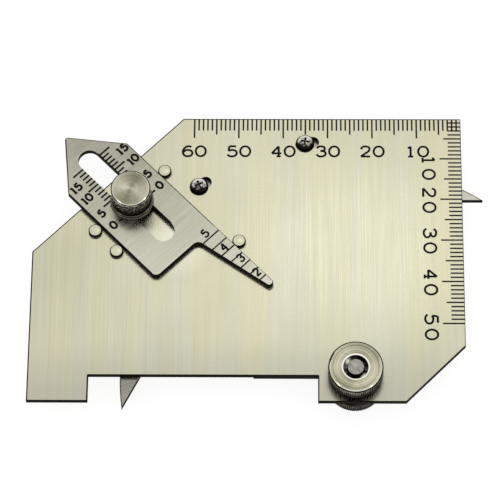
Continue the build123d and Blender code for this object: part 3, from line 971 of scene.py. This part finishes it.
def draw_figures(name, texts, height, width, pitch, pen, level, body, slot, up=1):
    """Draws numbers given as text, centre and the direction they are read in, in degrees.

    height, width, pitch and pen are the size of a figure, its step and its stroke in mm.
    """
    curve = bpy.data.curves.new(name, "CURVE")
    curve.dimensions = "3D"
    curve.bevel_depth, curve.bevel_resolution, curve.resolution_u = pen / 2 * mm, 2, 6
    curve.use_fill_caps = True
    for text, centre, reading in texts:
        turn = Matrix.Rotation(radians(reading), 2)
        for place, letter in enumerate(text):
            shift = (place - (len(text) - 1) / 2) * pitch

            def move(x, y):
                spot = Vector((shift + (x - 0.45) * width / 0.9, (y - 0.5) * height))
                spot.x *= up
                return Vector(centre) + turn @ spot * mm

            pen_strokes(curve, letter, move)
    drawing = put(name, curve)
    skin = bmesh.new()
    skin.from_mesh(shaped(drawing))
    bpy.data.objects.remove(drawing)
    bmesh.ops.scale(skin, vec=(1, 1, 0.1), verts=skin.verts)
    bmesh.ops.translate(skin, verts=skin.verts, vec=(0, 0, level + 0.002 * mm * up))
    bmesh.ops.recalc_face_normals(skin, faces=skin.faces)
    for face in skin.faces:
        face.smooth = True
    finish_piece(name, skin, body, slot, ink_and_edge_shade)


print("the pen leaves a skin a tenth as thick as its stroke is wide")

# %% [markdown]
# ## Placing the figures
# Each figure stands at a distance in millimetres from the corner, the knob's axis or the pivot. On
# the real gauge they are not quite evenly spaced, and the lists keep that.

# %% Figures on the plate
top_figures = [
    (str(n), plate_corner + Vector((-n, -8.2)) * mm, 0) for n in (60, 50, 40, 30, 20, 10)]
draw_figures(
    "plate_figures_top", top_figures, 2.5, 2.25, 2.95, 0.5, plate_front, "frame", "plate_steel")
side_heights = {10: -12.05, 20: -20.2, 30: -30.1, 40: -40.15, 50: -50.8}
side_figures = [
    (str(n), plate_corner + Vector((-7.35, y)) * mm, -90) for n, y in side_heights.items()]
draw_figures(
    "plate_figures_side", side_figures, 2.7, 2.3, 3.65, 0.5, plate_front, "frame", "plate_steel")

# %% Figures on the slider
slot_figures = []
for text, station in (("15", -10.98), ("10", -7.38), ("5", -2.52), ("0", 1.43)):
    for offset in (7.05, -6.95):
        slot_figures.append((text, on_slider(station, offset), slide_angle + 90))
draw_figures(
    "slider_figures", slot_figures, 1.7, 1.25, 1.45, 0.54, slider_front, "slider", "slider_steel")
wedge_places = (("5", 17.1, 6.12), ("4", 22.38, 6.82), ("3", 26.9, 7.65), ("2", 31.8, 7.85))
wedge_figures = [
    (text, on_slider(station, offset), slide_angle + 90) for text, station, offset in wedge_places]
draw_figures(
    "wedge_figures", wedge_figures, 1.75, 1.25, 1.6, 0.45, slider_front, "slider", "slider_steel")

# %% Figures on the sector's back
# The first line is close to the sector's edge, so its figure moves in by some degrees.
first_moves_in = 3.4
sector_figures = []
for count in range(-50, 51, 10):
    moved = first_moves_in if count == -50 else 0
    angle = index_middle + radians(count + moved)
    spot = Vector((cos(angle), sin(angle))) * (sector_radius - 5.4) * mm
    sector_figures.append((str(abs(count)), spot, index_angle + count + moved - 90))
draw_figures(
    "sector_figures", sector_figures, 1.9, 1.4, 1.9, 0.32, sector_back, "sector", "slider_steel",
    up=-1)

# %% [markdown]
# ## Sky
# The gauge lies under a white sky. What the camera and the mirror-like metal see is the white of
# the world, and what lights dull surfaces is a dimmer sky and three lamps, so that a colour comes
# out as it was written.

# %% Sky
scene = bpy.context.scene
scene.view_settings.view_transform = "Standard"


def where_seen(tree):
    """1 where the eye, a mirror or glass looks, and 0 where light only falls on a surface."""
    ray = add(tree, "ShaderNodeLightPath")
    seen = add(tree, "ShaderNodeMath", {
        0: ray.outputs["Is Camera Ray"], 1: ray.outputs["Is Glossy Ray"]}, operation="MAXIMUM")
    return add(tree, "ShaderNodeMath", {
        0: seen, 1: ray.outputs["Is Transmission Ray"]}, operation="MAXIMUM")


sky_as_light, sky_as_seen = 0.8, 1.0
world = bpy.data.worlds.new("white_studio")
scene.world = world
world.use_nodes = True
sky = world.node_tree
sky.nodes.clear()
dim = add(sky, "ShaderNodeBackground", {"Color": linear("#FFFFFF"), "Strength": sky_as_light})
white = add(sky, "ShaderNodeBackground", {"Color": linear("#FFFFFF"), "Strength": sky_as_seen})
mixed = add(sky, "ShaderNodeMixShader", {0: where_seen(sky), 1: dim, 2: white})
add(sky, "ShaderNodeOutputWorld", {"Surface": mixed})
print("the sky is white")

# %% [markdown]
# ## Table
# Plain white paper with a soft shadow. A grey matt surface takes the shadow, and a glow that only
# the eye and mirrors see lifts it to white, without lighting the gauge from below.

# %% Table
table_half, table_lift, table_glow = 2.5, -0.02 * mm, 0.86
table_mesh = bmesh.new()
bmesh.ops.create_grid(table_mesh, x_segments=1, y_segments=1, size=table_half)
bmesh.ops.translate(table_mesh, verts=table_mesh.verts, vec=(0, 0, table_lift))
table = put("table", mesh_of("table", table_mesh))
paper, tree = new_material("white_paper")
strength = add(tree, "ShaderNodeMath", {0: where_seen(tree), 1: table_glow}, operation="MULTIPLY")
matt = add(tree, "ShaderNodeBsdfDiffuse", {"Color": linear("#808080")})
glow = add(tree, "ShaderNodeEmission", {"Color": linear("#FFFFFF"), "Strength": strength})
both = add(tree, "ShaderNodeAddShader", {0: matt, 1: glow})
table.data.materials.append(finished(paper, both))

# %% [markdown]
# ## Lamps
# A small key lamp stands high beyond the plate's top edge, so each raised piece throws a short
# shadow towards the eye. Two strip lamps stand low on the right and on the left. They hardly light
# the flat faces, but the bevels of knob and nut lean just far enough to mirror them as glints. They
# are weak, because from behind the whole plate mirrors one of them and would turn white.


# %% Lamps
def soft_lamp(name, place, aim, width, height, watts):
    """A studio lamp with an oblong window that faces a point."""
    light = bpy.data.lights.new(name, "AREA")
    light.shape, light.size, light.size_y, light.energy = "RECTANGLE", width, height, watts
    lamp = put(name, light)
    lamp.location = place
    lamp.rotation_euler = (Vector(aim) - Vector(place)).to_track_quat("-Z", "Y").to_euler()


soft_lamp("key_lamp", (0.008, 0.277, 0.55), (0.0, 0.03, 0.0), 0.07, 0.07, 0.026)
soft_lamp("right_glint_lamp", (0.42, -0.22, 0.17), (0.0, 0.0, 0.01), 0.3, 0.06, 0.09)
soft_lamp("left_glint_lamp", (-0.43, -0.22, 0.17), (0.0, 0.0, 0.01), 0.22, 0.06, 0.06)

# %% [markdown]
# ## Camera
# A pinhole camera was fitted to the graduations and the plate's edges. Its tilt, turn and roll are
# angles from straight down in radians, its focal length is in pixels of a picture 500 wide, and its
# distance in millimetres is from a point on the plate's face, given from the plate's corner.

# %% Camera
focal, tilt, yaw, roll, distance = 2797.892, 0.420336, 0.016944, 0.009305, 619.491
picture_width, sensor_width = 500, 36.0
corner_x, corner_y, plate_level = 24.1, 62.0, 6.54
target = Vector((corner_x - 47.243, corner_y - 32.525, plate_level)) * mm
back = Vector((sin(yaw) * cos(tilt), -sin(tilt), cos(yaw) * cos(tilt)))
right = (-back).cross(Vector((0, 1, 0))).normalized()
up = right.cross(-back)
level_right = cos(roll) * right + sin(roll) * up
level_up = -sin(roll) * right + cos(roll) * up
view = bpy.data.cameras.new("photo_view")
view.sensor_width, view.lens = sensor_width, focal * sensor_width / picture_width
view.clip_start, view.clip_end = 0.01, 20
camera = put("photo_view", view)
turn = Matrix((level_right, level_up, back)).transposed().to_4x4()
camera.matrix_world = Matrix.Translation(target + back * distance * mm) @ turn
scene.camera = camera
print("camera lens", round(view.lens, 1), "mm")
